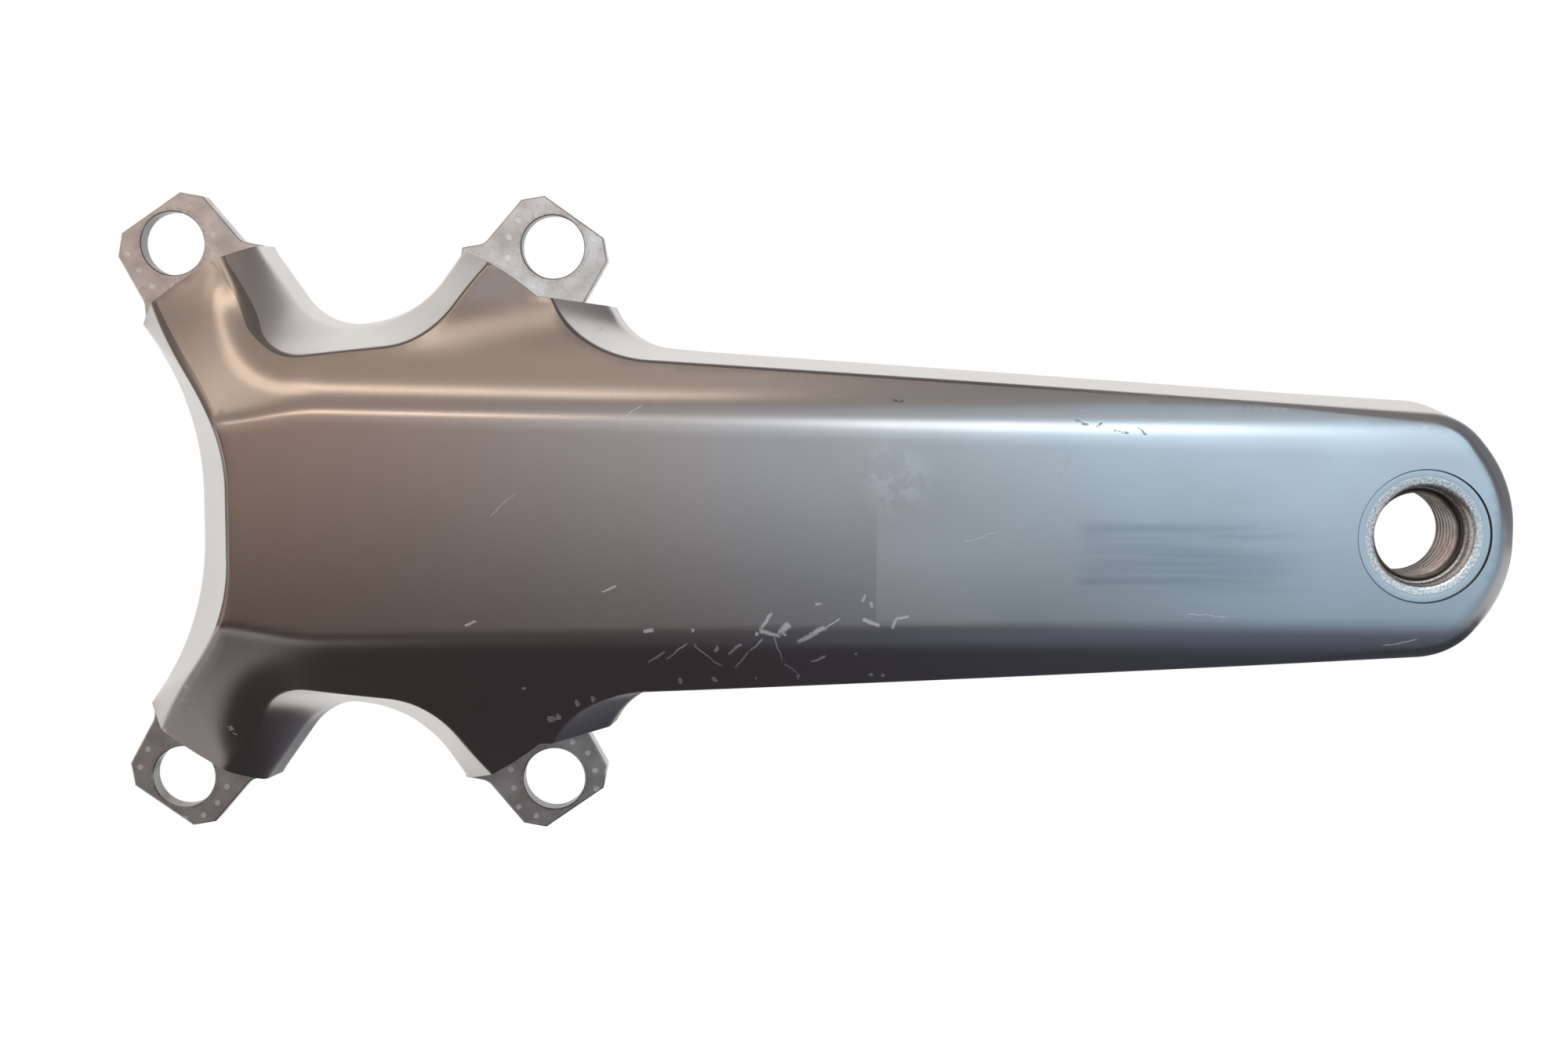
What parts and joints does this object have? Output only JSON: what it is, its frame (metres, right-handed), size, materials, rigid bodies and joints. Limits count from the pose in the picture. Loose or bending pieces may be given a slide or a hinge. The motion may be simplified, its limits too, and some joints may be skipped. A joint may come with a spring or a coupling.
{
  "type": "bicycle crank arm",
  "caption": "Drive-side bicycle crank arm with an integral chainring spider, threaded pedal eye and hollow splined spindle.",
  "frame": {"origin": "on the spindle axis, at the middle plane of the bicycle", "axes": "+X along the arm to the pedal axis, +Y along the spindle towards the other side of the bicycle, +Z across the arm"},
  "size_m": [0.2268, 0.1381, 0.107],
  "materials": {
    "arm_shell": "dark satin anodised, worn bare on the chainring tabs",
    "inner_cover": "dark satin anodised",
    "spindle": "ground steel"
  },
  "bodies": {
    "root": {"arm_shell": "arm_shell", "inner_cover": "inner_cover", "spindle": "spindle"}
  },
  "joints": []
}
